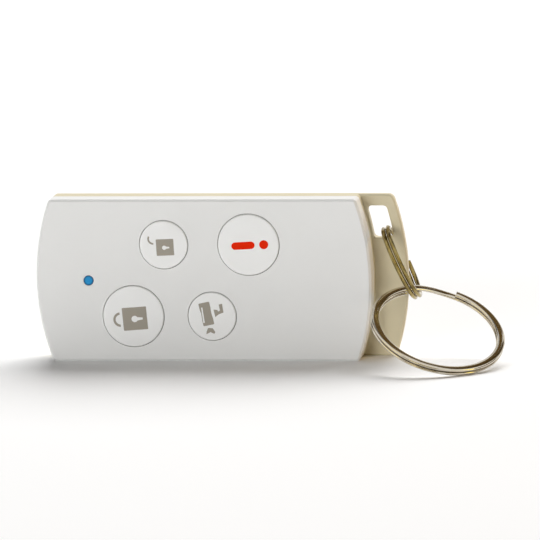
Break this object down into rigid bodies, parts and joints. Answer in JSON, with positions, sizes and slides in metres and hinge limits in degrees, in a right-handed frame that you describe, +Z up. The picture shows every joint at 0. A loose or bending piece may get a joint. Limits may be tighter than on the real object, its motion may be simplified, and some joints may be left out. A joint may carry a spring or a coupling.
{
  "type": "alarm key fob",
  "caption": "Flat white remote with round keys, a blue status light and a ring slot in its tongue, on a pair of linked split rings.",
  "frame": {"origin": "on the surface that the fob stands on, under the middle of the cover, on the seam between the two covers", "axes": "+X along the fob's length towards the split rings, +Y from the face with the keys to the rear, +Z up from the edge that it stands on"},
  "size_m": [0.087, 0.0282, 0.03],
  "materials": {
    "cover": "fine satin white",
    "shell": "fine satin ivory",
    "key": "glossy white with printed pictograms",
    "lens": "clear blue tinted, polished",
    "light_chip": "small yellowish chip",
    "board": "green solder mask",
    "chip": "moulded black epoxy",
    "switch_body": "moulded black",
    "plunger": "white nylon",
    "can_steel": "satin",
    "cell_steel": "satin, turned",
    "contact_metal": "bright spring steel",
    "antenna_metal": "bright",
    "screw_steel": "satin zinc",
    "ring_nickel": "polished nickel plate"
  },
  "bodies": {
    "case": {"front_cover": "cover", "rear_cover": "shell", "led_lens": "lens", "led": "light_chip", "circuit_board": "board", "crystal": "can_steel", "loop_antenna": "antenna_metal", "coin_cell": "cell_steel", "battery_contact": "contact_metal", "battery_clip": "contact_metal", "microcontroller": "chip", "radio_chip": "chip", "case_screws": "screw_steel", "arm_switch": "switch_body", "disarm_switch": "switch_body", "home_switch": "switch_body", "panic_switch": "switch_body"},
    "arm_key": {"arm_button": "key", "arm_switch_plunger": "plunger"},
    "disarm_key": {"disarm_button": "key", "disarm_switch_plunger": "plunger"},
    "home_key": {"home_button": "key", "home_switch_plunger": "plunger"},
    "panic_key": {"panic_button": "key", "panic_switch_plunger": "plunger"},
    "small_ring": {"small_split_ring": "ring_nickel"},
    "large_ring": {"large_split_ring": "ring_nickel"}
  },
  "joints": [
    {"name": "arm_press", "type": "slide", "parent": "case", "child": "arm_key", "axis": [0, 1, 0], "range_m": [0, 0.0003], "stiffness_N_per_m": 2000, "springref_m": -0.0002},
    {"name": "disarm_press", "type": "slide", "parent": "case", "child": "disarm_key", "axis": [0, 1, 0], "range_m": [0, 0.0003], "stiffness_N_per_m": 2000, "springref_m": -0.0002},
    {"name": "home_press", "type": "slide", "parent": "case", "child": "home_key", "axis": [0, 1, 0], "range_m": [0, 0.0003], "stiffness_N_per_m": 2000, "springref_m": -0.0002},
    {"name": "panic_press", "type": "slide", "parent": "case", "child": "panic_key", "axis": [0, 1, 0], "range_m": [0, 0.0003], "stiffness_N_per_m": 2000, "springref_m": -0.0002},
    {"name": "small_ring_swing", "type": "hinge", "parent": "case", "child": "small_ring", "pos_m": [0.03334, 0.00287, 0.02332], "axis": [-0.0637, -0.9311, 0.3591], "range_deg": [0, 120]},
    {"name": "large_ring_swing", "type": "hinge", "parent": "small_ring", "child": "large_ring", "pos_m": [0.03836, -0.00059, 0.01303], "axis": [-0.8247, -0.5649, 0.0264], "range_deg": [-45, 90]}
  ]
}
